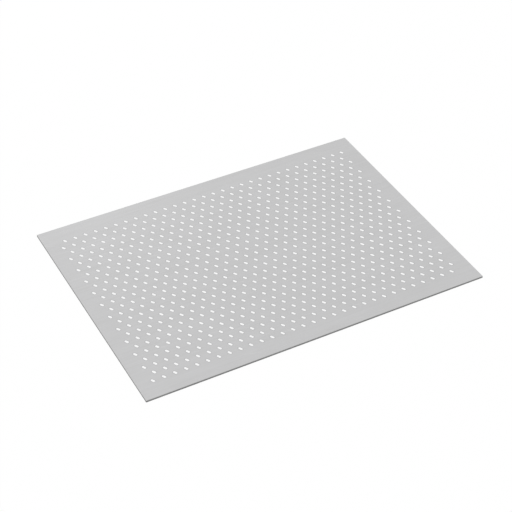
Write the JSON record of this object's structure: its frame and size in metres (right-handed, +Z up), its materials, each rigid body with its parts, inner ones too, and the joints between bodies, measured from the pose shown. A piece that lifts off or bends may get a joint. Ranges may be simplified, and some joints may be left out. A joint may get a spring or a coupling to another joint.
{
  "type": "perforated metal sheet",
  "caption": "Flat rectangular metal sheet punched all over with small slanting slots in a staggered pattern, with a bare border.",
  "frame": {"origin": "centre of the sheet's underside", "axes": "+X along the long side, +Y across the sheet, +Z up through its thickness"},
  "size_m": [0.52, 0.38, 0.003],
  "materials": {
    "mill_aluminium": "matte, as rolled"
  },
  "bodies": {
    "root": {"perforated_sheet": "mill_aluminium"}
  },
  "joints": []
}
